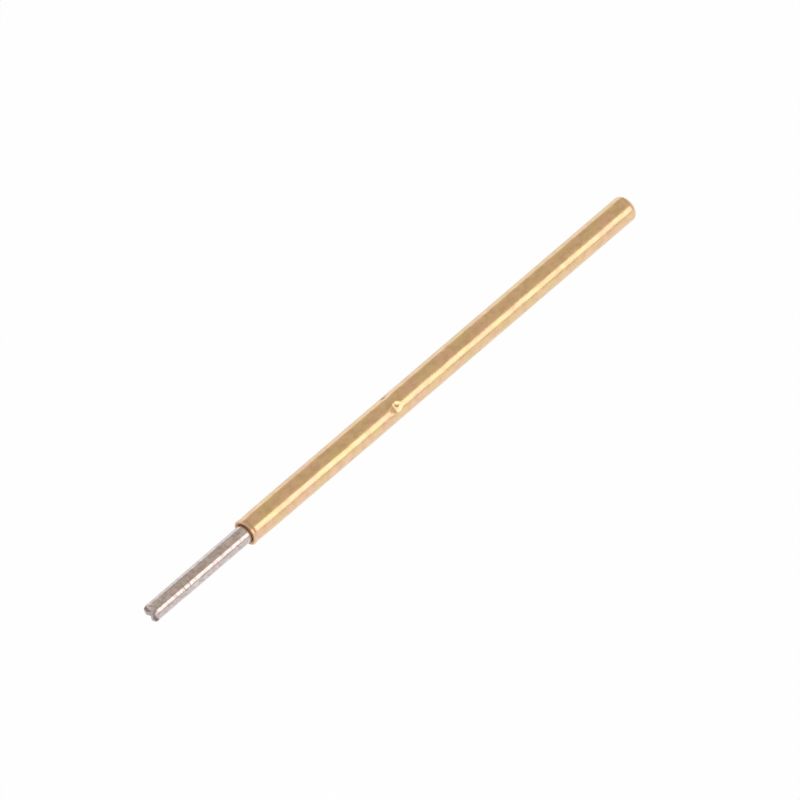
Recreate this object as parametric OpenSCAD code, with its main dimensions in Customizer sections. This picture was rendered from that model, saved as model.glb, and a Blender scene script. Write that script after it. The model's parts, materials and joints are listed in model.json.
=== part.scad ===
// Spring-loaded contact pin: a closed barrel, a plunger with a four-point crown, and a coil spring.
// The pin lies along X. The contact tip points to -X and the closed tail to +X.
// The origin is on the axis, at the mouth of the barrel.

/* [Barrel] */
// Outside diameter of the barrel
barrel_d = 0.68; // [0.66:0.01:0.76]
// Length of the barrel, from its mouth to its closed tail
barrel_len = 13.35; // [13:0.05:15]
// Thickness of the drawn wall
wall = 0.075; // [0.07:0.005:0.08]
// Length over which the wall is rolled in at the mouth
lip_len = 0.07; // [0.05:0.01:0.16]
// Drop of the outside from the barrel to the rim of the mouth
lip_drop = 0.045; // [0.03:0.005:0.07]
// Radius of the rounded edge at the closed tail
tail_r = 0.17; // [0.12:0.01:0.2]
// Thickness of the closed tail
tail_wall = 0.1; // [0.08:0.01:0.15]

/* [Crimp] */
// Number of dimples pressed in round the barrel
crimp_count = 4; // [2:1:4]
// Distance from the mouth to the middle of the dimples
crimp_x = 5.05; // [4.8:0.05:5.6]
// Turn of the first dimple about the axis, from straight up
crimp_turn = 36; // [0:1:90]
// Width of a dimple along the barrel
dish_w = 0.42; // [0.34:0.01:0.44]
// Depth of a dimple's shallow dish
dish_depth = 0.05; // [0.03:0.005:0.055]
// Width of the pit that the punch's point leaves in the dish
pit_w = 0.12; // [0.08:0.01:0.14]
// Depth of the pit below the dish
pit_depth = 0.05; // [0.03:0.005:0.055]

/* [Plunger] */
// Gap between the plunger and the bore, on the radius
running_gap = 0.03; // [0.015:0.005:0.04]
// Length of plunger outside the barrel when it is fully out
exposed_len = 3.2; // [3:0.05:4]
// Full travel of the plunger into the barrel
travel = 2.65; // [2:0.05:2.65]
// Diameter of the neck that passes between the dimples
neck_d = 0.28; // [0.24:0.01:0.3]
// Length of the bearing behind the dimples
bearing_len = 0.95; // [0.8:0.05:1.1]
// Length of the nose that centres the spring
nose_len = 0.45; // [0.3:0.05:0.6]
// Number of turning marks along the front of the plunger
mark_count = 36; // [10:2:60]
// Depth of the turning marks
mark_depth = 0.002; // [0.001:0.0005:0.003]

/* [Crown] */
// Width of the two V grooves that cross on the tip
groove_w = 0.155; // [0.1:0.005:0.18]
// Angle between the flanks of a V groove
groove_angle = 90; // [80:5:110]
// Turn of the grooves about the axis, from straight up
crown_turn = 28; // [0:1:90]
// Size of the bevel round the tip
tip_bevel = 0.025; // [0.01:0.005:0.03]

/* [Spring] */
// Diameter of the spring's wire
wire_d = 0.09; // [0.08:0.005:0.1]
// Gap between the spring and the bore, on the radius
spring_gap = 0.03; // [0.02:0.005:0.04]
// Number of working turns
active_turns = 36; // [30:1:36]
// Number of closed turns at each end
end_turns = 1; // [1:1:2]
// Rings of facets in each turn
rings_per_turn = 12; // [8:1:16]
// Sides of the wire's section
wire_sides = 8; // [6:1:10]

/* [Hidden] */
$fn = 96;

gold = [0.86, 0.69, 0.42];
rhodium = [0.78, 0.76, 0.75];
spring_steel = [0.72, 0.73, 0.74];

barrel_r = barrel_d / 2;
bore_r = barrel_r - wall;
rim_r = barrel_r - lip_drop;
// the lip's arc is tangent to the barrel and ends at the rim
lip_r = (lip_len * lip_len + lip_drop * lip_drop) / (2 * lip_drop);
floor_x = barrel_len - tail_wall;
inner_tail_r = tail_r - wall;

// a dish is part of a ball as wide as dish_w where it meets the barrel, and the wall follows it inwards
dish_r = (dish_w * dish_w / 4 + dish_depth * dish_depth) / (2 * dish_depth);
dish_centre = barrel_r - dish_depth + dish_r;
bump_r = dish_r + wall;
bump_tip_r = barrel_r - dish_depth - pit_depth - wall;
bump_point_w = pit_w + wall;
bump_point_h = pit_depth + 0.02;
bump_half = sqrt(bump_r * bump_r - pow(dish_centre - bore_r, 2));

plunger_r = bore_r - running_gap;
neck_r = neck_d / 2;
step_bevel = 0.03;
step_gap = 0.05;
// the front of the plunger stops just short of the dimples when it is fully in
front_end = crimp_x - bump_half - travel - step_gap;
// the bearing's shoulder meets the dimples when the plunger is fully out
seat_gap = 0.008;
shoulder_x = crimp_x + sqrt(bump_r * bump_r - pow(dish_centre - plunger_r, 2)) + seat_gap;
bearing_end = shoulder_x + bearing_len;
groove_depth = groove_w / 2 / tan(groove_angle / 2);

coil_r = bore_r - spring_gap - wire_d / 2;
nose_gap = 0.015;
nose_r = coil_r - wire_d / 2 - nose_gap;
nose_tip_r = nose_r / 2;
spring_len = floor_x - bearing_end;
closed_pitch = wire_d * 1.03;
pitch = (spring_len - wire_d - 2 * end_turns * closed_pitch) / active_turns;
turns = active_turns + 2 * end_turns;

// Turns a profile drawn as [distance along the pin, radius] about the pin's own axis
module turned() {
    rotate([0, 90, 0]) rotate_extrude() mirror([1, 0]) rotate(90) children();
}

// Places a thing at x, turned round the axis from straight up
module round_pin(x, turn) {
    translate([x, 0, 0]) rotate([turn, 0, 0]) children();
}

// Half of a bar with a rounded edge at its far end
module round_ended(length, radius, edge_r) {
    square([length - edge_r, radius]);
    square([length, radius - edge_r]);
    translate([length - edge_r, radius - edge_r]) circle(edge_r);
}

// The outside of the barrel: the rolled mouth, the straight wall and the rounded tail
module barrel_outside() {
    translate([lip_len, 0]) round_ended(barrel_len - lip_len, barrel_r, tail_r);
    square([lip_len, rim_r]);
    intersection() {
        translate([lip_len, barrel_r - lip_r]) circle(lip_r);
        square([lip_len, barrel_r]);
    }
}

// The bore, which starts outside the mouth so that it cuts clean through the rim
module bore() {
    over = 0.1;
    translate([-over, 0]) round_ended(floor_x + over, bore_r, inner_tail_r);
}

// What the punch takes from the outside of a dimple: a shallow dish with a sharp pit
module punch() {
    translate([0, 0, dish_centre]) sphere(dish_r);
    translate([0, 0, barrel_r - dish_depth - pit_depth])
        cylinder(h = 2 * pit_depth, r1 = pit_w / 12, r2 = pit_w);
}

// What the punch pushes into the bore: a low bump with a blunt point
module bump() {
    intersection() {
        translate([0, 0, dish_centre]) sphere(bump_r);
        rotate([0, 90, 0]) cylinder(h = 3 * bump_half, r = bore_r + wall / 3, center = true);
    }
    translate([0, 0, bump_tip_r])
        cylinder(h = bump_point_h, r1 = bump_point_w / 4, r2 = bump_point_w / 2);
}

module barrel() {
    color(gold) difference() {
        union() {
            turned() difference() {
                barrel_outside();
                bore();
            }
            for (i = [0 : crimp_count - 1])
                round_pin(crimp_x, crimp_turn + i * 360 / crimp_count) bump();
        }
        for (i = [0 : crimp_count - 1])
            round_pin(crimp_x, crimp_turn + i * 360 / crimp_count) punch();
    }
}

// Radius of the front of the plunger at mark i: every other one is a little smaller
function marked_r(i) = plunger_r - (i % 2) * mark_depth;

// Place of mark i: the marks are uneven, as a tool's chatter leaves them
function mark_x(i) =
    let (step = (front_end + exposed_len) / (mark_count + 1))
    -exposed_len + step * (i + 1 + 0.35 * sin(i * 137.5));

module plunger_profile() {
    polygon([
        [-exposed_len, 0],
        [-exposed_len, plunger_r - tip_bevel],
        [-exposed_len + tip_bevel, plunger_r - mark_depth],
        for (i = [0 : mark_count - 1]) [mark_x(i), marked_r(i)],
        [front_end - step_bevel, plunger_r],
        [front_end, plunger_r - step_bevel],
        [front_end + step_bevel, neck_r],
        [shoulder_x - step_bevel, neck_r],
        [shoulder_x, plunger_r - step_bevel],
        [shoulder_x + step_bevel, plunger_r],
        [bearing_end - step_bevel, plunger_r],
        [bearing_end, plunger_r - step_bevel],
        [bearing_end, nose_r],
        [bearing_end + nose_len, nose_tip_r],
        [bearing_end + nose_len, 0]
    ]);
}

// One V groove across the tip
module crown_groove() {
    over = 0.1;
    rim = groove_w / 2 * (groove_depth + over) / groove_depth;
    linear_extrude(height = barrel_d, center = true)
        polygon([[groove_depth, 0], [-over, rim], [-over, -rim]]);
}

module plunger() {
    color(rhodium) difference() {
        turned() plunger_profile();
        for (turn = [0, 90]) round_pin(-exposed_len, crown_turn + turn) crown_groove();
    }
}

// Distance along the pin of the wire's middle after u turns: close wound, open, close wound
function wire_x(u) =
    bearing_end + wire_d / 2
    + closed_pitch * (min(u, end_turns) + max(u - end_turns - active_turns, 0))
    + pitch * min(max(u - end_turns, 0), active_turns);

// Slope of the wire after u turns, along the pin per degree of turn
function wire_slope(u) = (wire_x(u + 0.05) - wire_x(u - 0.05)) / 36;

// The ring of points round the wire after u turns, square to the wire
function wire_ring(u) =
    let (
        a = 360 * u,
        out = [0, cos(a), sin(a)],
        along = [wire_slope(u) * 180 / PI / coil_r, -sin(a), cos(a)],
        side = cross(along, out) / norm(along)
    )
    [for (k = [0 : wire_sides - 1])
        [wire_x(u), 0, 0] + coil_r * out
        + wire_d / 2 * (cos(k * 360 / wire_sides) * out + sin(k * 360 / wire_sides) * side)];

module spring() {
    rings = turns * rings_per_turn;
    points = [for (i = [0 : rings]) each wire_ring(i / rings_per_turn)];
    // the sides run from ring to ring, and each end of the wire is one flat face
    sides = [for (i = [0 : rings - 1], k = [0 : wire_sides - 1])
        let (next = (k + 1) % wire_sides, a = i * wire_sides, b = a + wire_sides)
        each [[a + k, a + next, b + k], [a + next, b + next, b + k]]];
    first = [for (k = [0 : wire_sides - 1]) wire_sides - 1 - k];
    last = [for (k = [0 : wire_sides - 1]) rings * wire_sides + k];
    color(spring_steel) polyhedron(points, concat(sides, [first, last]));
}

barrel();
plunger();
spring();
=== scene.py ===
"""A spring-loaded contact pin: a gold-plated barrel, a crown-tipped plunger and a coil spring.

The pin lies along X, tip towards -X, with the mouth of the barrel at the origin. Lengths are in
metres. Angles about the pin are measured from straight up towards -Y.
"""

import json
import logging
import math
import random
from dataclasses import dataclass, field
from enum import Enum
from typing import Callable, Iterable

import bpy
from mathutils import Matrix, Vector


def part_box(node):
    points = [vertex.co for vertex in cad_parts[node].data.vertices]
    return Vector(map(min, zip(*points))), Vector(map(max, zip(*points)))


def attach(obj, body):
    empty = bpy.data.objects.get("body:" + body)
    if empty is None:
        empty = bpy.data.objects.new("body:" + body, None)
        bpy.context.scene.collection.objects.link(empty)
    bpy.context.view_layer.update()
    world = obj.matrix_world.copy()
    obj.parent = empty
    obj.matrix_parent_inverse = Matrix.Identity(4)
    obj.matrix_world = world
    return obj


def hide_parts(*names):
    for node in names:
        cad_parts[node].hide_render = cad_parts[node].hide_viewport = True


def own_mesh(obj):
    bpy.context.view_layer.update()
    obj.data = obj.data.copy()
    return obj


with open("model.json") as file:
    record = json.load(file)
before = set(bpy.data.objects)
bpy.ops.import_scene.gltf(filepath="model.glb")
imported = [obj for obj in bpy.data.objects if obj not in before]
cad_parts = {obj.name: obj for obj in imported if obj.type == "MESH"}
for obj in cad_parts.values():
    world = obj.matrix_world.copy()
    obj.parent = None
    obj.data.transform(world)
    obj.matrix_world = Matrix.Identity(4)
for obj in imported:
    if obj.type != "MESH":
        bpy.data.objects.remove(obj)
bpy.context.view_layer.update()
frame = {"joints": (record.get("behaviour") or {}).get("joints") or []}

MM = 0.001
log = logging.getLogger("pogo_pin")

Span = tuple[float, float]
Point = tuple[float, float, float]
Colour = tuple[float, float, float, float]
Ring = list[Point]
Profile = Callable[[float], float]

WHITE: Colour = (1, 1, 1, 1)


# ---------------------------------------------------------------- node trees


class Value:
    """A number socket that takes Python's arithmetic and adds a Math node for each operation."""

    def __init__(self, tree: "Tree", socket: bpy.types.NodeSocket) -> None:
        """Wraps one output socket of a tree."""
        self.tree = tree
        self.socket = socket

    def math(self, operation: str, *others: "Value | float") -> "Value":
        """Adds a Math node that starts with this value.

        Args:
            operation: The Math node's operation, such as SINE.
            others: The second and third numbers, where the operation has them.

        Returns:
            The node's result.
        """
        sockets = dict(enumerate([self, *others]))
        return self.tree.value("ShaderNodeMath", {"operation": operation}, sockets)

    def before(self, operation: str, first: float) -> "Value":
        """Adds a Math node in which a plain number comes first."""
        return self.tree.value("ShaderNodeMath", {"operation": operation}, {0: first, 1: self})

    def __add__(self, other: "Value | float") -> "Value":
        """self + other."""
        return self.math("ADD", other)

    def __radd__(self, other: float) -> "Value":
        """other + self."""
        return self.before("ADD", other)

    def __sub__(self, other: "Value | float") -> "Value":
        """self - other."""
        return self.math("SUBTRACT", other)

    def __rsub__(self, other: float) -> "Value":
        """other - self."""
        return self.before("SUBTRACT", other)

    def __mul__(self, other: "Value | float") -> "Value":
        """self * other."""
        return self.math("MULTIPLY", other)

    def __rmul__(self, other: float) -> "Value":
        """other * self."""
        return self.before("MULTIPLY", other)

    def __truediv__(self, other: "Value | float") -> "Value":
        """self / other."""
        return self.math("DIVIDE", other)


class Tree:
    """Builds one node tree: every node comes from add()."""

    def __init__(self, tree: bpy.types.NodeTree) -> None:
        """Wraps a shader or geometry node tree."""
        self.tree = tree

    def add(self, kind: str, settings: dict | None = None,
            sockets: dict | None = None) -> bpy.types.Node:
        """Adds a node, its settings first and then its sockets.

        Args:
            kind: The node's type.
            settings: The node's own properties.
            sockets: Values or links for its inputs, by name or number.

        Returns:
            The new node.
        """
        node = self.tree.nodes.new(kind)
        for name, setting in (settings or {}).items():
            setattr(node, name, setting)
        for key, given in (sockets or {}).items():
            source = given.socket if isinstance(given, Value) else given
            if isinstance(source, bpy.types.NodeSocket):
                self.tree.links.new(source, node.inputs[key])
            else:
                node.inputs[key].default_value = source
        return node

    def value(self, kind: str, settings: dict | None = None, sockets: dict | None = None,
              output: str | int = 0) -> Value:
        """Adds a node and wraps one of its outputs."""
        return Value(self, self.add(kind, settings, sockets).outputs[output])

    def ramp(self, source: Value, low: float, high: float,
             to_low: float = 0.0, to_high: float = 1.0) -> Value:
        """Maps low..high of a value to another span, smoothly and clamped."""
        smooth = {"interpolation_type": "SMOOTHSTEP", "clamp": True}
        return self.value("ShaderNodeMapRange", smooth, {
            "Value": source, "From Min": low, "From Max": high, "To Min": to_low, "To Max": to_high,
        })

    def mix(self, share: Value, first: Colour | bpy.types.NodeSocket,
            second: Colour) -> bpy.types.NodeSocket:
        """Mixes two colours by a share."""
        node = self.add("ShaderNodeMix", {"data_type": "RGBA", "blend_type": "MIX"}, {
            "Factor": share, 6: first, 7: second,
        })
        return node.outputs[2]


class Surface(Tree):
    """The node tree of one material, with the patterns that its finishes share."""

    def __init__(self, name: str) -> None:
        """Makes an empty material of that name."""
        self.material = bpy.data.materials.new(name)
        self.material.use_nodes = True
        super().__init__(self.material.node_tree)
        self.tree.nodes.clear()
        self.place = self.add("ShaderNodeTexCoord").outputs["Object"]

    def noise(self, per_mm: Point, detail: float = 2.0, rough: float = 0.5,
              shift: float = 0.0) -> Value:
        """A noise field fixed to the piece.

        Args:
            per_mm: Its frequency along the pin and across it, in cycles for each millimetre.
            detail: The number of finer octaves.
            rough: The strength of the finer octaves.
            shift: Moves the field along the pin, so that two of one scale differ.

        Returns:
            The field, from 0 to 1.
        """
        mapped = self.add("ShaderNodeMapping", {}, {
            "Vector": self.place,
            "Location": (shift, 0.0, 0.0),
            "Scale": tuple(f / MM for f in per_mm),
        })
        return self.value("ShaderNodeTexNoise", {"noise_dimensions": "3D"}, {
            "Vector": mapped.outputs[0], "Scale": 1.0, "Detail": detail, "Roughness": rough,
        })

    def along(self) -> Value:
        """Distance along the pin."""
        return Value(self, self.add("ShaderNodeSeparateXYZ", {}, {0: self.place}).outputs["X"])

    def radius(self) -> Value:
        """Distance from the pin's axis."""
        across = self.add("ShaderNodeVectorMath", {"operation": "MULTIPLY"}, {
            0: self.place, 1: (0.0, 1.0, 1.0),
        })
        return self.value("ShaderNodeVectorMath", {"operation": "LENGTH"}, {
            0: across.outputs[0],
        }, output="Value")

    def near(self, source: Value, place: float, edge: Span) -> Value:
        """Rises from 0 to 1 between two offsets from a place."""
        return self.ramp(source, place + edge[0], place + edge[1])

    def bump(self, height: Value, depth: float) -> bpy.types.NodeSocket:
        """A normal from a height field of 0 to 1 that stands for depth metres."""
        return self.add("ShaderNodeBump", {}, {"Height": height, "Distance": depth}).outputs[0]

    def finish(self, sockets: dict) -> bpy.types.Material:
        """Ends the tree in a Principled shader with those sockets, and returns the material."""
        shader = self.add("ShaderNodeBsdfPrincipled", {}, sockets)
        self.add("ShaderNodeOutputMaterial", {}, {"Surface": shader.outputs[0]})
        return self.material


# ---------------------------------------------------------------- finishes


@dataclass(frozen=True, kw_only=True)
class Metal:
    """A metal whose colour and gloss drift a little over its surface.

    Its colour drifts towards a warm and a cool tint in soft blotches, and towards a darker shade in
    finer ones.
    """

    name: str
    colour: Colour
    warm: Colour
    cool: Colour
    shade: Colour
    gloss: Span
    blotch: float
    relief: float

    def colours(self, tree: Surface) -> bpy.types.NodeSocket:
        """The drifting colour, as a socket of a tree."""
        soft = MM / self.blotch
        warm = tree.ramp(tree.noise((0.6 * soft, soft, soft)), 0.42, 0.66)
        cool = tree.ramp(tree.noise((0.6 * soft, soft, soft), shift=7.3), 0.42, 0.66)
        fine = tree.noise((2.0 * soft, 2.4 * soft, 2.4 * soft), detail=3.0, shift=4.9)
        tinted = tree.mix(cool, tree.mix(warm, self.colour, self.warm), self.cool)
        return tree.mix(tree.ramp(fine, 0.40, 0.70), tinted, self.shade)

    def roughness(self, tree: Surface, noise: Value) -> Value:
        """The roughness between the two of its gloss, by a noise field."""
        return tree.ramp(noise, 0.3, 0.7, *self.gloss)


@dataclass(frozen=True, kw_only=True)
class GoldPlate(Metal):
    """Gold over a drawn tube: faint lines and hollows, painted shade in the pits, dull brass and
    painted shade in the bore.

    The edges are offsets from the bore's radius or its floor, between which a layer comes in.
    """

    bore: float
    floor_x: float
    name: str = "gold_plate"
    colour: Colour = (1.0, 0.69, 0.412, 1)
    warm: Colour = (1.0, 0.625, 0.435, 1)
    cool: Colour = (0.92, 0.685, 0.345, 1)
    shade: Colour = (0.84, 0.575, 0.335, 1)
    # Bare brass in the bore and on the lip's inner round; its brown is also painted shade of the
    # gap at the mouth.
    brass_and_shade: Colour = (0.68, 0.43, 0.28, 1)
    # Painted shade inside the bore.
    bore_shade: Colour = (0.50, 0.33, 0.18, 1)
    # Painted shade in the dimples' pits.
    soil: Colour = (0.36, 0.22, 0.11, 1)
    gloss: Span = (0.22, 0.30)
    blotch: float = 0.4 * MM
    relief: float = 0.002 * MM
    floor_edge: Span = (0.04 * MM, 0.01 * MM)
    brass_and_shade_edge: Span = (0.042 * MM, 0.026 * MM)
    bore_shade_edge: Span = (0.055 * MM, 0.030 * MM)
    coat: float = 0.65

    def material(self) -> bpy.types.Material:
        """The finish as a material. It reads the mesh's attribute of painted shade in the pits."""
        tree = Surface(self.name)
        inside = tree.near(tree.along(), self.floor_x, self.floor_edge)
        # Dull bare brass, which also paints the shade of the gap at the mouth.
        dull_and_shaded = tree.near(tree.radius(), self.bore, self.brass_and_shade_edge) * inside
        deep = tree.near(tree.radius(), self.bore, self.bore_shade_edge) * inside
        # Painted shade in the dimples' pits, from the mesh's attribute.
        soil = tree.value("ShaderNodeAttribute", {"attribute_name": "soil"}, output="Fac")
        lines = tree.noise((0.5, 30.0, 30.0), detail=3.0, rough=0.6)
        hollows = tree.noise((1.2, 2.5, 2.5), shift=3.1)
        grain = tree.noise((40.0, 40.0, 40.0))
        gloss = self.roughness(tree, tree.noise((2.0, 4.0, 4.0), detail=4.0))
        # Painted shade: the colour is darkened towards a dark brown deep in the bore.
        bore_shaded = tree.mix(deep * 0.35, self.colours(tree), self.bore_shade)
        return tree.finish({
            "Base Color": tree.mix(dull_and_shaded, tree.mix(soil, bore_shaded, self.soil), self.brass_and_shade),
            "Metallic": 1.0 - dull_and_shaded * 0.4 - soil * 0.5,
            "Roughness": gloss + dull_and_shaded * 0.3 + soil * 0.1,
            "Coat Weight": self.coat - dull_and_shaded.math("MAXIMUM", soil) * 0.5,
            "Coat Roughness": 0.12,
            "Normal": tree.bump(lines * 0.2 + hollows * 2.6 + grain * 0.12, self.relief),
        })


@dataclass(frozen=True, kw_only=True)
class RhodiumPlate(Metal):
    """White plating over turned metal: uneven rings a hair deep round the pin, and a crown that is
    duller and darker, partly painted shade.

    A brown ring of painted shade lies on the plunger where the barrel's mouth stands when the pin
    is at rest. The edges are offsets from the tip, the mouth or the plunger's radius, between which
    a layer comes in.
    """

    tip_x: float
    radius: float
    name: str = "rhodium_plate"
    colour: Colour = (0.75, 0.648, 0.648, 1)
    warm: Colour = (0.765, 0.60, 0.60, 1)
    cool: Colour = (0.69, 0.635, 0.61, 1)
    shade: Colour = (0.53, 0.445, 0.45, 1)
    scuffed: Colour = (0.60, 0.50, 0.49, 1)
    pale: Colour = (0.90, 0.83, 0.82, 1)
    # The crown's darker colour: partly its duller cut, partly painted shade.
    cut_and_shade: Colour = (0.44, 0.35, 0.33, 1)
    # Painted shade: a brown ring on the plunger where it enters the mouth.
    lip_shade: Colour = (0.50, 0.31, 0.23, 1)
    gloss: Span = (0.09, 0.18)
    blotch: float = 0.2 * MM
    relief: float = 0.004 * MM
    lip_shade_edge: Span = (-0.065 * MM, -0.015 * MM)
    rim_edge: Span = (0.07 * MM, 0.03 * MM)
    face_edge: Span = (-0.004 * MM, -0.014 * MM)
    groove_shade_edge: Span = (0.01 * MM, 0.05 * MM)
    coat: float = 0.7

    def material(self) -> bpy.types.Material:
        """The finish as a material."""
        tree = Surface(self.name)
        # Painted shade where the plunger enters the mouth.
        lip_shade = tree.near(tree.along(), 0.0, self.lip_shade_edge)
        rim = tree.near(tree.along(), self.tip_x, self.rim_edge)
        front_half = tree.ramp(tree.along(), 0.0, self.tip_x / 2)
        face = tree.near(tree.radius(), self.radius, self.face_edge) * front_half
        # Painted shade, deepest at the bottom of the crown's grooves.
        groove = face * tree.near(tree.along(), self.tip_x, self.groove_shade_edge)
        cut_and_shade = rim.math("MAXIMUM", face)
        rings = tree.noise((9.0, 0.02, 0.02), detail=4.0, rough=0.75)
        grain = tree.noise((20.0, 24.0, 24.0), detail=3.0)
        chips = tree.noise((18.0, 18.0, 18.0), shift=5.2)
        scuffs = tree.ramp(tree.noise((14.0, 0.6, 0.6), detail=3.0, shift=2.6), 0.48, 0.70)
        pale = tree.ramp(tree.noise((4.0, 5.0, 5.0), detail=4.0, rough=0.6, shift=8.8), 0.50, 0.68)
        gloss = self.roughness(tree, tree.noise((6.0, 1.0, 1.0), detail=4.0, shift=1.7))
        plated = tree.mix(scuffs * 0.5, self.colours(tree), self.scuffed)
        plated = tree.mix(pale * 0.7, plated, self.pale)
        # The crown is darker, partly for its duller cut and partly as painted shade, most in the
        # grooves.
        crown = tree.mix(cut_and_shade * 0.45 + groove * 0.4, plated, self.cut_and_shade)
        return tree.finish({
            "Base Color": tree.mix(lip_shade * 0.85, crown, self.lip_shade),
            "Metallic": 1.0,
            "Roughness": gloss + cut_and_shade * 0.12 + lip_shade * 0.25,
            "Coat Weight": self.coat - cut_and_shade.math("MAXIMUM", lip_shade) * 0.5,
            "Coat Roughness": 0.1,
            "Normal": tree.bump(rings + grain * 0.15 + chips * cut_and_shade * 1.5, self.relief),
        })


@dataclass(frozen=True, kw_only=True)
class SpringWire(Metal):
    """Bright drawn spring wire."""

    name: str = "spring_wire"
    colour: Colour = (0.62, 0.61, 0.60, 1)
    warm: Colour = (0.60, 0.57, 0.53, 1)
    cool: Colour = (0.58, 0.60, 0.62, 1)
    shade: Colour = (0.52, 0.51, 0.50, 1)
    gloss: Span = (0.18, 0.30)
    blotch: float = 0.15 * MM
    relief: float = 0.0005 * MM

    def material(self) -> bpy.types.Material:
        """The finish as a material."""
        tree = Surface(self.name)
        grain = tree.noise((25.0, 25.0, 25.0), detail=3.0)
        return tree.finish({
            "Base Color": self.colours(tree),
            "Metallic": 1.0,
            "Roughness": self.roughness(tree, grain),
            "Normal": tree.bump(grain, self.relief),
        })


# ---------------------------------------------------------------- turned surfaces


def around(angle: float) -> tuple[float, float]:
    """The Y and Z of a unit step out from the axis at an angle from straight up towards -Y."""
    return -math.sin(angle), math.cos(angle)


class Side(Enum):
    """The two sides of the barrel's wall, by the order in which its rounded corner is drawn."""

    OUTSIDE = 1
    INSIDE = -1


@dataclass
class Turned:
    """A closed surface built ring by ring along a turned piece."""

    segments: int
    sharp: float = math.radians(35)
    rings: list[Ring] = field(default_factory=list)

    def ring(self, x: Profile | float, radius: Profile | float) -> None:
        """Adds a ring whose place along the pin and radius may both vary round it.

        Args:
            x: Distance along the pin, or a function of the angle that gives it.
            radius: Distance from the axis, or a function of the angle that gives it.
        """
        points = []
        for k in range(self.segments):
            angle = 2 * math.pi * k / self.segments
            y, z = around(angle)
            r = radius(angle) if callable(radius) else radius
            points.append((x(angle) if callable(x) else x, r * y, r * z))
        self.rings.append(points)

    def mesh(self, name: str, first_x: float, last_x: float) -> bpy.types.Mesh:
        """Skins the rings and closes both ends with a point on the axis.

        Args:
            name: The mesh's name.
            first_x: Where the first closing point lies.
            last_x: Where the last closing point lies.

        Returns:
            A closed mesh, facing outwards, smooth apart from its sharp edges.
        """
        n, count = self.segments, len(self.rings)
        points = [p for ring in self.rings for p in ring] + [(first_x, 0, 0), (last_x, 0, 0)]
        first, last = n * count, n * count + 1
        faces = []
        for k in range(n):
            after = (k + 1) % n
            faces.append((first, after, k))
            for i in range(count - 1):
                a, b = i * n, (i + 1) * n
                faces.append((a + k, a + after, b + after, b + k))
            end = (count - 1) * n
            faces.append((end + k, end + after, last))
        mesh = bpy.data.meshes.new(name)
        mesh.from_pydata(points, [], faces)
        mesh.polygons.foreach_set("use_smooth", [True] * len(mesh.polygons))
        mesh.set_sharp_from_angle(angle=self.sharp)
        return mesh


def place(mesh: bpy.types.Mesh, material: bpy.types.Material) -> bpy.types.Object:
    """Puts a mesh in the scene, unmoved, with its material."""
    mesh.materials.append(material)
    piece = bpy.data.objects.new(mesh.name, mesh)
    bpy.context.scene.collection.objects.link(piece)
    return piece


def steps(start: float, end: float, count: int) -> list[float]:
    """Even steps from start to end, both included."""
    return [start + (end - start) * i / count for i in range(count + 1)]


def soft_min(a: float, b: float, blend: float) -> float:
    """The smaller of two numbers, rounded where they are within blend of each other."""
    h = max(blend - abs(a - b), 0.0) / blend
    return min(a, b) - h * h * blend / 4


def soft_max(a: float, b: float, blend: float) -> float:
    """The larger of two numbers, rounded where they are within blend of each other."""
    return -soft_min(-a, -b, blend)


def ease(share: float) -> float:
    """A smooth step from 0 to 1."""
    share = min(max(share, 0.0), 1.0)
    return share * share * (3 - 2 * share)


def turn_between(a: float, b: float) -> float:
    """The angle from a to b, from -pi to pi."""
    return (b - a + math.pi) % (2 * math.pi) - math.pi


# ---------------------------------------------------------------- pieces


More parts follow.
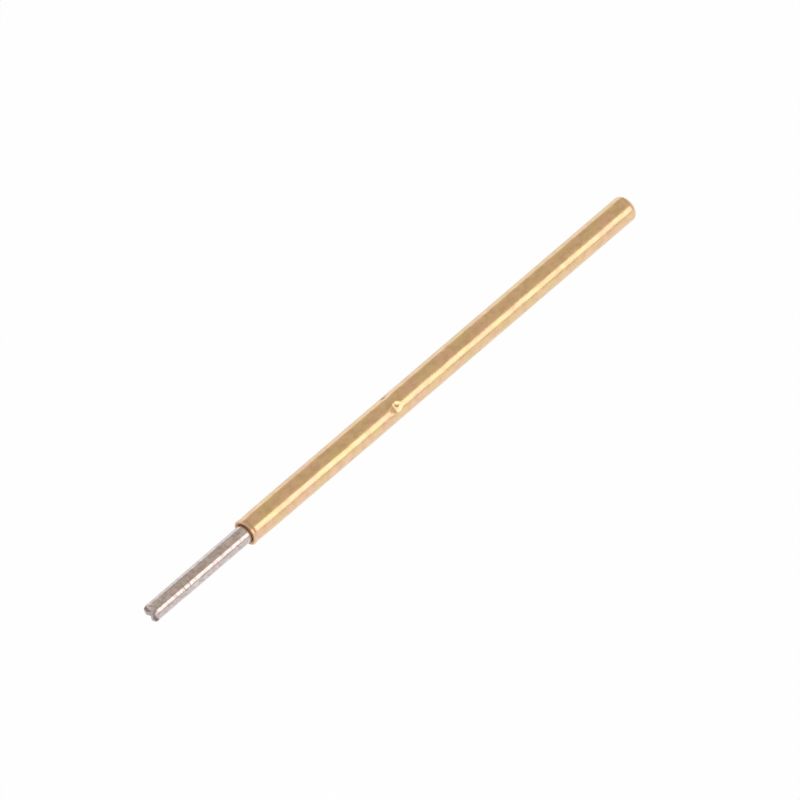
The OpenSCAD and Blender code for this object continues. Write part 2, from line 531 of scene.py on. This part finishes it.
@dataclass
class Barrel:
    """The drawn tube, with its rolled mouth, rounded tail and four punched dimples.

    Each dimple's slip is its turn off its even place. Its painted shade in the pit is a share, a
    shift along the pin and a reach. A field that ends in _rings is a count of steps.
    """

    length: float
    radius: float
    wall: float = 0.075 * MM
    segments: int = 256

    lip_length: float = 0.019 * MM
    lip_drop: float = 0.017 * MM
    lip_inner: float = 0.03 * MM
    lip_turn_in: float = 0.026 * MM
    lip_rings: int = 14
    edge_rings: int = 6

    waist_start: float = 0.024 * MM
    waist_x: float = 0.145 * MM
    waist_end: float = 0.5 * MM
    waist_depth: float = 0.013 * MM
    waist_rings: int = 60

    body_start: float = 0.6 * MM
    body_drop: float = 0.005 * MM
    front_rings: int = 30
    rear_rings: int = 50

    tail_wall: float = 0.1 * MM
    floor_corner: float = 0.05 * MM
    floor_shares: tuple[float, ...] = (0.3, 0.6, 0.9)
    dome: Span = (0.165 * MM, 0.235 * MM)
    dome_clear: float = 0.05 * MM
    corner_rings: int = 16

    crimp_x: float = 5.05 * MM
    crimp_turn: float = math.radians(34.5)
    crimp_slips: tuple[float, ...] = (0.0, math.radians(3), math.radians(-2), math.radians(8))
    # Painted shade in each dimple's pit: a share, a shift along the pin and a reach.
    crimp_pit_shade: tuple[tuple[float, float, float], ...] = (
        (0.2, 0.0, 0.06 * MM),
        (0.6, 0.0, 0.06 * MM),
        (0.5, 0.0, 0.06 * MM),
        (1.0, -0.045 * MM, 0.12 * MM),
    )
    crimp_spread: float = 1.2
    crimp_reach: float = 0.32 * MM
    crimp_clear: float = 0.35 * MM
    crimp_rings: int = 80

    press_depth: float = 0.03 * MM
    press_shift: float = -0.05 * MM
    press_flat: float = 0.06 * MM
    press_slopes: Span = (0.14, 0.30)
    press_turn: float = math.radians(5)
    press_round: float = 0.03 * MM
    press_blend: float = 0.008 * MM

    pit_depth: float = 0.022 * MM
    pit_shift: float = -0.018 * MM
    pit_slope: float = 0.44
    pit_round: float = 0.026 * MM
    pit_blend: float = 0.006 * MM

    dish_width: float = 0.42 * MM
    dish_depth: float = 0.05 * MM
    dish_blend: float = 0.02 * MM
    point_slope: float = 0.9
    point_round: float = 0.012 * MM

    @property
    def bore(self) -> float:
        """Radius of the bore."""
        return self.radius - self.wall

    @property
    def floor_x(self) -> float:
        """Where the bore ends against the closed tail."""
        return self.length - self.tail_wall

    def turns(self, angle: float) -> list[float]:
        """The turn from each dimple to an angle round the barrel."""
        apart = 2 * math.pi / len(self.crimp_slips)
        return [turn_between(self.crimp_turn + i * apart + slip, angle)
                for i, slip in enumerate(self.crimp_slips)]

    def dimples(self, angle: float) -> Iterable[float]:
        """The turn from each dimple that is near enough to matter to an angle round the barrel."""
        return (turn for turn in self.turns(angle) if abs(turn) < self.crimp_spread)

    def pressed(self, x: float) -> Profile:
        """The outside's radius: a flat press at each dimple, turned a little off its pit.

        Args:
            x: Distance along the barrel.

        Returns:
            The radius as a function of the angle.
        """
        along = x - self.crimp_x
        beyond = abs(along - self.press_shift) - self.press_flat
        slope = self.press_slopes[0 if along < self.press_shift else 1]
        rise = slope * soft_max(beyond, 0.0, self.press_round)

        def at(angle: float) -> float:
            """The outside's radius at one angle."""
            r = self.radius - self.waist(x)
            for turn in self.dimples(angle):
                aside = self.radius * math.sin(turn)
                floor = (self.radius - self.press_depth + rise) / math.cos(turn - self.press_turn)
                away = math.hypot(math.hypot(along - self.pit_shift, aside), self.pit_round)
                pit = self.radius - self.press_depth - self.pit_depth + self.pit_slope * away
                r = soft_min(soft_min(r, floor, self.press_blend), pit, self.pit_blend)
            return r

        return at

    def bumped(self, x: float) -> Profile:
        """The bore's radius, pushed in by the bump behind each dimple.

        Args:
            x: Distance along the barrel.

        Returns:
            The radius as a function of the angle.
        """
        ball = (self.dish_width ** 2 / 4 + self.dish_depth ** 2) / (2 * self.dish_depth)
        centre = self.radius - self.dish_depth + ball
        along = x - self.crimp_x
        point = self.radius - self.dish_depth - self.pit_depth - self.wall

        def at(angle: float) -> float:
            """The bore's radius at one angle."""
            r = self.bore
            for turn in self.dimples(angle):
                side = centre * math.sin(turn)
                inside = (ball + self.wall) ** 2 - along ** 2 - side ** 2
                if inside > 0:
                    aside = self.radius * math.sin(turn)
                    away = math.hypot(math.hypot(along, aside), self.point_round)
                    r = soft_min(r, centre * math.cos(turn) - math.sqrt(inside), self.dish_blend)
                    r = soft_min(r, point + self.point_slope * away, self.point_round)
            return r

        return at

    def soil(self, x: float, y: float, z: float) -> float:
        """How much painted shade a place gets, from 0 to 1: most near a pit's bottom, and more in
        some pits.
        """
        along = x - self.crimp_x - self.pit_shift
        near = zip(self.crimp_pit_shade, self.turns(math.atan2(-y, z)))
        return max(
            share * (1 - ease(math.hypot(along - shift, self.radius * turn) / reach))
            for (share, shift, reach), turn in near)

    def waist(self, x: float) -> float:
        """How far the barrel lies inside its lip: most just behind it, and a little all along."""
        falling = ease((x - self.lip_length) / (self.waist_x - self.lip_length))
        rising = ease((x - self.waist_x) / (self.waist_end - self.waist_x))
        return self.waist_depth * falling - (self.waist_depth - self.body_drop) * rising

    def crimp_steps(self) -> list[float]:
        """Fine steps along the barrel over the dimples."""
        reach = self.crimp_reach
        return steps(self.crimp_x - reach, self.crimp_x + reach, self.crimp_rings)

    def corner(self, surface: Turned, end: float, radius: float, reach: Span, side: Side) -> None:
        """Adds the rings of a rounded corner at the tail.

        Args:
            surface: The surface that the rings go to.
            end: The place along the pin where the corner ends.
            radius: The distance from the axis where it starts.
            reach: How far it reaches along the pin and across it.
            side: The side of the wall that it lies on.
        """
        along, across = reach
        for a in steps(0, math.pi / 2, self.corner_rings)[::side.value]:
            surface.ring(end - along * (1 - math.sin(a)), radius - across * (1 - math.cos(a)))

    def inside(self, surface: Turned) -> None:
        """Adds the bore's rings, from the middle of its floor to the mouth."""
        corner = self.floor_corner
        for share in self.floor_shares:
            surface.ring(self.floor_x, (self.bore - corner) * share)
        self.corner(surface, self.floor_x, self.bore, (corner, corner), Side.INSIDE)
        for x in reversed(self.crimp_steps()):
            surface.ring(x, self.bumped(x))
        for widths in (5, 3):
            surface.ring(widths * self.lip_inner, self.bore)

    def lip(self, surface: Turned) -> None:
        """Adds the rolled mouth's rings: its inner edge, and the arc from there to the outside."""
        edge, mouth = self.lip_inner, self.bore - self.lip_turn_in
        for a in steps(0, math.pi / 2, self.edge_rings):
            surface.ring(edge - edge * math.sin(a), mouth + edge - edge * math.cos(a))
        arc = (self.lip_length ** 2 + self.lip_drop ** 2) / (2 * self.lip_drop)
        for a in steps(math.asin(self.lip_length / arc), 0, self.lip_rings):
            surface.ring(self.lip_length - arc * math.sin(a), self.radius - arc + arc * math.cos(a))

    def outside(self, surface: Turned) -> None:
        """Adds the outside's rings, from the waist behind the lip to the tail's dome."""
        body = self.radius - self.body_drop
        for x in steps(self.waist_start, self.waist_end, self.waist_rings):
            surface.ring(x, self.radius - self.waist(x))
        for x in steps(self.body_start, self.crimp_x - self.crimp_clear, self.front_rings):
            surface.ring(x, body)
        for x in self.crimp_steps():
            surface.ring(x, self.pressed(x))
        dome_x = self.length - self.dome[0] - self.dome_clear
        for x in steps(self.crimp_x + self.crimp_clear, dome_x, self.rear_rings):
            surface.ring(x, body)
        self.corner(surface, self.length, body, self.dome, Side.OUTSIDE)
        surface.ring(self.length, (body - self.dome[1]) / 2)

    def mesh(self) -> bpy.types.Mesh:
        """The barrel as one closed surface, from the bore's floor to the tail, and its painted
        shade in the pits.
        """
        surface = Turned(self.segments)
        self.inside(surface)
        self.lip(surface)
        self.outside(surface)
        mesh = surface.mesh("gold_barrel", self.floor_x, self.length)
        soil = mesh.attributes.new("soil", "FLOAT", "POINT")
        soil.data.foreach_set("value", [self.soil(*vertex.co) for vertex in mesh.vertices])
        return mesh

    def build(self) -> bpy.types.Object:
        """Makes the barrel in place of its plain solid."""
        piece = place(self.mesh(), GoldPlate(bore=self.bore, floor_x=self.floor_x).material())
        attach(piece, "barrel")
        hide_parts("barrel")
        return piece


@dataclass
class Plunger:
    """The turned plunger: crown, front, neck, bearing and nose.

    Each deep mark has its distance from the tip and a share of the marks' depth. The fine marks are
    drawn at random, within the depths and widths given. The marks go on inside the mouth by a share
    of the front's length. A field that ends in _rings is a count of steps.
    """

    tip_x: float
    end_x: float
    radius: float
    bearing_end: float
    front_end: float = 2.123 * MM
    shoulder_x: float = 5.204 * MM
    neck: float = 0.14 * MM
    nose: float = 0.13 * MM
    bevel: float = 0.03 * MM
    segments: int = 256

    crown_turn: float = math.radians(19)
    crown_rings: int = 44
    groove_width: float = 0.19 * MM
    groove_depth: float = 0.07 * MM
    groove_power: float = 1.35
    groove_blend: float = 0.008 * MM
    groove_clear: float = 0.01 * MM
    rim_round: float = 0.015 * MM
    rim_blend: float = 0.006 * MM

    mark_depth: float = 0.0046 * MM
    mark_width: float = 0.024 * MM
    deep_marks: tuple[tuple[float, float], ...] = (
        (0.50 * MM, 0.5), (0.85 * MM, 1.0), (0.93 * MM, 0.6),
        (1.0 * MM, 1.0), (1.18 * MM, 1.0), (1.385 * MM, 0.5),
    )
    fine_marks: int = 40
    fine_start: float = 0.15 * MM
    fine_depths: Span = (0.0004 * MM, 0.0014 * MM)
    fine_widths: Span = (0.014 * MM, 0.035 * MM)
    mark_seed: int = 11

    marked_inside: float = 0.02
    marked_rings: int = 305
    plain_start: float = 0.1 * MM
    plain_rings: int = 20

    def crown(self, radius: float) -> Profile:
        """Where the tip's surface lies at one radius: deeper in the two grooves and at the rim.

        Args:
            radius: Distance from the axis.

        Returns:
            The place along the pin as a function of the angle.
        """
        half = self.groove_width / 2
        inside = max(radius - (self.radius - self.rim_round), 0.0)
        rounded = self.rim_round - math.sqrt(max(self.rim_round ** 2 - inside ** 2, 0.0))

        def at(angle: float) -> float:
            """The tip's place along the pin at one angle."""
            deep = 0.0
            for i in range(2):
                turn = angle - self.crown_turn - i * math.pi / 2
                off = abs(radius * math.sin(turn))
                groove = self.groove_depth * (1 - (off / half) ** self.groove_power)
                deep = soft_max(deep, groove, self.groove_blend)
            return self.tip_x + soft_max(deep, rounded, self.rim_blend)

        return at

    def marks(self) -> Profile:
        """The depth of the rings that the turning tool left on the part of the plunger that shows.

        Returns:
            The depth as a function of the distance along the pin.
        """
        draw = random.Random(self.mark_seed)
        rings = [(self.tip_x + x, share * self.mark_depth, self.mark_width)
                 for x, share in self.deep_marks]
        for _ in range(self.fine_marks):
            centre = self.tip_x + draw.uniform(self.fine_start, -self.tip_x)
            rings.append((centre, draw.uniform(*self.fine_depths), draw.uniform(*self.fine_widths)))

        def at(x: float) -> float:
            """The depth at one place."""
            return sum(depth * math.exp(-((x - centre) / width) ** 2)
                       for centre, depth, width in rings)

        return at

    def mesh(self) -> bpy.types.Mesh:
        """The plunger as one closed surface, from the middle of its crown to its nose's end."""
        surface = Turned(self.segments)
        for r in steps(0, self.radius, self.crown_rings)[1:]:
            surface.ring(self.crown(r), r)
        depth = self.marks()
        marked_start = self.tip_x + self.groove_depth + self.groove_clear
        marked_end = -self.tip_x * self.marked_inside
        for x in steps(marked_start, marked_end, self.marked_rings):
            surface.ring(x, self.radius - depth(x))
        for x in steps(self.plain_start, self.front_end - self.bevel, self.plain_rings):
            surface.ring(x, self.radius)
        outline = [
            (self.front_end, self.radius - self.bevel),
            (self.front_end + self.bevel, self.neck),
            (self.shoulder_x - self.bevel, self.neck),
            (self.shoulder_x, self.radius - self.bevel),
            (self.shoulder_x + self.bevel, self.radius),
            (self.bearing_end - self.bevel, self.radius),
            (self.bearing_end, self.radius - self.bevel),
            (self.bearing_end, self.nose),
            (self.end_x, self.nose / 2),
        ]
        for x, r in outline:
            surface.ring(x, r)
        return surface.mesh("crown_plunger", self.crown(0.0)(0.0), self.end_x)

    def build(self) -> bpy.types.Object:
        """Makes the plunger in place of its plain solid."""
        piece = place(self.mesh(), RhodiumPlate(tip_x=self.tip_x, radius=self.radius).material())
        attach(piece, "plunger")
        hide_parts("plunger")
        return piece


@dataclass
class Spring:
    """The coil spring, wound by Geometry Nodes.

    It stands between the bearing and the closed tail, a hair clear of both. Its closed turns' pitch
    is in thicknesses of the wire.
    """

    start_x: float
    end_x: float
    coil_radius: float
    seat_gap: float = 0.004 * MM
    wire: float = 0.09 * MM
    active_turns: float = 36.0
    end_turns: float = 1.0
    closed_pitch: float = 1.03
    per_turn: int = 24
    sides: int = 12
    sharp: float = math.radians(50)

    def tree(self) -> tuple[bpy.types.NodeTree, dict[str, str]]:
        """Builds the node tree.

        Returns:
            The tree, and each input's identifier by its name.
        """
        group = bpy.data.node_groups.new("wind_spring", "GeometryNodeTree")
        face = group.interface
        face.new_socket("Geometry", in_out="INPUT", socket_type="NodeSocketGeometry")
        face.new_socket("Geometry", in_out="OUTPUT", socket_type="NodeSocketGeometry")
        kinds = {
            "Start": "Float", "Length": "Float", "Coil Radius": "Float", "Wire": "Float",
            "Active Turns": "Float", "End Turns": "Float", "Per Turn": "Int", "Sides": "Int",
            "Finish": "Material",
        }
        names = {
            name: face.new_socket(name, in_out="INPUT", socket_type="NodeSocket" + kind).identifier
            for name, kind in kinds.items()
        }
        t = Tree(group)
        given = t.add("NodeGroupInput")

        def get(name: str) -> Value:
            """One of the tree's inputs."""
            return Value(t, given.outputs[name])

        per_turn, wire = get("Per Turn"), get("Wire")
        ends, active = get("End Turns"), get("Active Turns")
        count = (active + ends * 2.0) * per_turn + 1.0
        line = t.add("GeometryNodeMeshLine", {"mode": "OFFSET"}, {"Count": count})
        turn = t.value("GeometryNodeInputIndex") / per_turn
        closed = wire * self.closed_pitch
        pitch = (get("Length") - wire - ends * closed * 2.0) / active
        close_wound = turn.math("MINIMUM", ends) + (turn - ends - active).math("MAXIMUM", 0.0)
        open_wound = (turn - ends).math("MAXIMUM", 0.0).math("MINIMUM", active)
        along = get("Start") + wire / 2.0 + close_wound * closed + open_wound * pitch
        angle = turn * (2 * math.pi)
        radius = get("Coil Radius")
        where = t.add("ShaderNodeCombineXYZ", {}, {
            "X": along, "Y": angle.math("COSINE") * radius, "Z": angle.math("SINE") * radius,
        })
        wound = t.add("GeometryNodeSetPosition", {}, {
            "Geometry": line.outputs["Mesh"], "Position": where.outputs[0],
        })
        path = t.add("GeometryNodeMeshToCurve", {}, {"Mesh": wound.outputs[0]})
        section = t.add("GeometryNodeCurvePrimitiveCircle", {"mode": "RADIUS"}, {
            "Resolution": get("Sides"), "Radius": wire / 2.0,
        })
        tube = t.add("GeometryNodeCurveToMesh", {}, {
            "Curve": path.outputs[0], "Profile Curve": section.outputs[0], "Fill Caps": True,
        })
        real = t.add("GeometryNodeRealizeInstances", {}, {"Geometry": tube.outputs[0]})
        dressed = t.add("GeometryNodeSetMaterial", {}, {
            "Geometry": real.outputs[0], "Material": given.outputs["Finish"],
        })
        t.add("NodeGroupOutput", {}, {"Geometry": dressed.outputs[0]})
        return group, names

    def mesh(self) -> bpy.types.Mesh:
        """The wound and dressed spring as a plain mesh."""
        carrier = bpy.data.objects.new("spring_winding", bpy.data.meshes.new("spring_winding"))
        bpy.context.scene.collection.objects.link(carrier)
        group, names = self.tree()
        modifier = carrier.modifiers.new("wind", "NODES")
        modifier.node_group = group
        sizes = {
            "Start": self.start_x + self.seat_gap,
            "Length": self.end_x - self.start_x - 2 * self.seat_gap,
            "Coil Radius": self.coil_radius,
            "Wire": self.wire,
            "Active Turns": self.active_turns,
            "End Turns": self.end_turns,
            "Per Turn": self.per_turn,
            "Sides": self.sides,
            "Finish": SpringWire().material(),
        }
        for name, size in sizes.items():
            modifier[names[name]] = size
        graph = bpy.context.evaluated_depsgraph_get()
        mesh = bpy.data.meshes.new_from_object(carrier.evaluated_get(graph))
        bpy.data.objects.remove(carrier)
        mesh.name = "coil_spring"
        mesh.polygons.foreach_set("use_smooth", [True] * len(mesh.polygons))
        mesh.set_sharp_from_angle(angle=self.sharp)
        return mesh

    def build(self, travel: float) -> bpy.types.Object:
        """Makes the spring in place of its plain solid.

        Args:
            travel: How far the plunger goes in; not used.

        Returns:
            The finished spring.
        """
        mesh = self.mesh()
        length = self.end_x - self.start_x
        piece = bpy.data.objects.new("coil_spring", mesh)
        bpy.context.scene.collection.objects.link(piece)
        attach(piece, "spring")
        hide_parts("spring")
        1 - travel / length
        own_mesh(piece)
        return piece


# ---------------------------------------------------------------- studio


@dataclass(frozen=True)
class Room:
    """A grey room, white to the camera, with a card low behind the pin and panels at its ends.

    The card and each panel come in between two values of the X, Y or Z of a unit step from the pin.
    """

    colour: Colour = (1.0, 0.915, 0.77, 1)
    light: float = 0.56
    card_colour: Colour = (0.95, 0.98, 1.0, 1)
    card_light: float = 0.5
    card_x: Span = (0.75, 0.55)
    card_y: Span = (-0.1, 0.2)
    card_z: Span = (0.34, 0.22)
    tip_panel_x: Span = (-0.8, -0.4)
    tip_panel_light: float = 0.7
    tail_panel_x: Span = (0.54, 0.66)
    tail_panel_shade: float = 0.28
    tail_lamp_x: Span = (0.76, 0.92)
    tail_lamp_light: float = 0.55

    def build(self) -> bpy.types.World:
        """Makes the room the scene's world."""
        world = bpy.data.worlds.new("room")
        world.use_nodes = True
        bpy.context.scene.world = world
        world.node_tree.nodes.clear()
        t = Tree(world.node_tree)
        toward = t.add("ShaderNodeTexCoord").outputs["Generated"]
        split = t.add("ShaderNodeSeparateXYZ", {}, {0: toward})
        x, y, z = (Value(t, split.outputs[axis]) for axis in "XYZ")
        card = t.ramp(z, *self.card_z) * t.ramp(y, *self.card_y) * t.ramp(x, *self.card_x)
        tip_end = t.ramp(x, *self.tip_panel_x, self.tip_panel_light, 1.0)
        shade = t.ramp(x, *self.tail_panel_x) * self.tail_panel_shade
        tail_end = 1.0 - shade + t.ramp(x, *self.tail_lamp_x) * self.tail_lamp_light
        path = t.add("ShaderNodeLightPath")
        room = t.add("ShaderNodeBackground", {}, {
            "Color": t.mix(card, self.colour, self.card_colour),
            "Strength": (card * self.card_light + self.light) * tip_end * tail_end,
        })
        white = t.add("ShaderNodeBackground", {}, {"Color": WHITE, "Strength": 1.0})
        both = t.add("ShaderNodeMixShader", {}, {
            0: path.outputs["Is Camera Ray"], 1: room.outputs[0], 2: white.outputs[0],
        })
        t.add("ShaderNodeOutputWorld", {}, {"Surface": both.outputs[0]})
        return world


@dataclass(frozen=True)
class WhiteTable:
    """A table that shows white to the camera and to polished metal, and keeps a soft shadow."""

    name: str = "white_table"
    colour: Colour = (0.85, 0.9, 0.95, 1)
    white_to_camera: float = 0.98
    white_to_metal: float = 0.68

    def material(self) -> bpy.types.Material:
        """The finish as a material."""
        tree = Surface(self.name)
        path = tree.add("ShaderNodeLightPath").outputs
        camera, glossy, through = (
            Value(tree, path[f"Is {ray} Ray"]) for ray in ("Camera", "Glossy", "Transmission"))
        matt = tree.add("ShaderNodeBsdfDiffuse", {}, {"Color": self.colour})
        white = tree.add("ShaderNodeEmission", {}, {"Color": WHITE, "Strength": 1.0})
        share = camera * self.white_to_camera + (glossy + through) * self.white_to_metal
        both = tree.add("ShaderNodeMixShader", {}, {
            0: share, 1: matt.outputs[0], 2: white.outputs[0],
        })
        tree.add("ShaderNodeOutputMaterial", {}, {"Surface": both.outputs[0]})
        return tree.material


@dataclass
class Studio:
    """The white table, the room, the light and the camera."""

    centre: Vector
    floor_z: float
    half_table: float = 1.5
    softbox_toward: Point = (-0.06, -0.257, 0.154)
    softbox_size: Span = (0.55, 0.22)
    softbox_radiance: float = 1.03
    azimuth: float = math.radians(-47.56)
    elevation: float = math.radians(51.44)
    distance: float = 0.32
    view_width: float = 18.72 * MM
    sensor_width: float = 36.0
    clip: Span = (0.01, 10.0)

    def floor(self) -> bpy.types.Object:
        """A wide white table under the pin."""
        half = self.half_table
        mesh = bpy.data.meshes.new("table")
        corners = [(-half, -half), (half, -half), (half, half), (-half, half)]
        mesh.from_pydata([(x, y, self.floor_z) for x, y in corners], [], [(0, 1, 2, 3)])
        table = place(mesh, WhiteTable().material())
        return table

    def softbox(self) -> bpy.types.Object:
        """A long soft light that points at the pin, its long side level. Radiance 1 is white."""
        light = bpy.data.lights.new("front_softbox", "AREA")
        light.shape = "RECTANGLE"
        light.size, light.size_y = self.softbox_size
        light.energy = self.softbox_radiance * math.pi * self.softbox_size[0] * self.softbox_size[1]
        lamp = bpy.data.objects.new("front_softbox", light)
        lamp.location = self.centre + Vector(self.softbox_toward)
        _, back, up = self.softbox_toward
        lamp.rotation_euler = (-Vector((0, back, up))).to_track_quat("-Z", "Y").to_euler()
        lamp.visible_camera = False
        bpy.context.scene.collection.objects.link(lamp)
        return lamp

    def camera(self) -> bpy.types.Object:
        """A long lens far off, so that the pin hardly tapers."""
        back = Vector((
            math.sin(self.azimuth) * math.cos(self.elevation),
            -math.cos(self.azimuth) * math.cos(self.elevation),
            math.sin(self.elevation),
        ))
        data = bpy.data.cameras.new("camera")
        data.sensor_width = self.sensor_width
        data.lens = self.sensor_width * self.distance / self.view_width
        data.clip_start, data.clip_end = self.clip
        camera = bpy.data.objects.new("camera", data)
        camera.location = self.centre + back * self.distance
        camera.rotation_euler = back.to_track_quat("Z", "Y").to_euler()
        bpy.context.scene.collection.objects.link(camera)
        bpy.context.scene.camera = camera
        return camera

    def build(self) -> None:
        """Sets the table, room, light and camera."""
        self.floor()
        Room().build()
        self.softbox()
        self.camera()
        bpy.context.scene.view_settings.view_transform = "Standard"


def main() -> None:
    """Builds the pin, piece by piece, and the studio round it."""
    logging.basicConfig(level=logging.INFO, format="%(name)s: %(message)s")
    barrel_low, barrel_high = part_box("barrel")
    plunger_low, plunger_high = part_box("plunger")
    spring_low, spring_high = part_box("spring")
    slide = next(j for j in frame["joints"] if j["name"] == "plunger_slide")
    travel = slide["range_m"][1]
    running_gap = 0.034 * MM
    view_centre = Vector((5.347 * MM, 0.0114 * MM, 0.0061 * MM))

    barrel = Barrel(length=barrel_high[0], radius=barrel_high[2])
    plunger = Plunger(
        tip_x=plunger_low[0],
        end_x=plunger_high[0],
        radius=barrel.bore - running_gap,
        bearing_end=spring_low[0],
    )
    spring = Spring(
        start_x=spring_low[0],
        end_x=spring_high[0],
        coil_radius=spring_high[2] - Spring.wire / 2,
    )
    for piece in (barrel.build(), plunger.build(), spring.build(travel)):
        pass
    Studio(centre=view_centre, floor_z=barrel_low[2]).build()


if __name__ == "__main__":
    main()
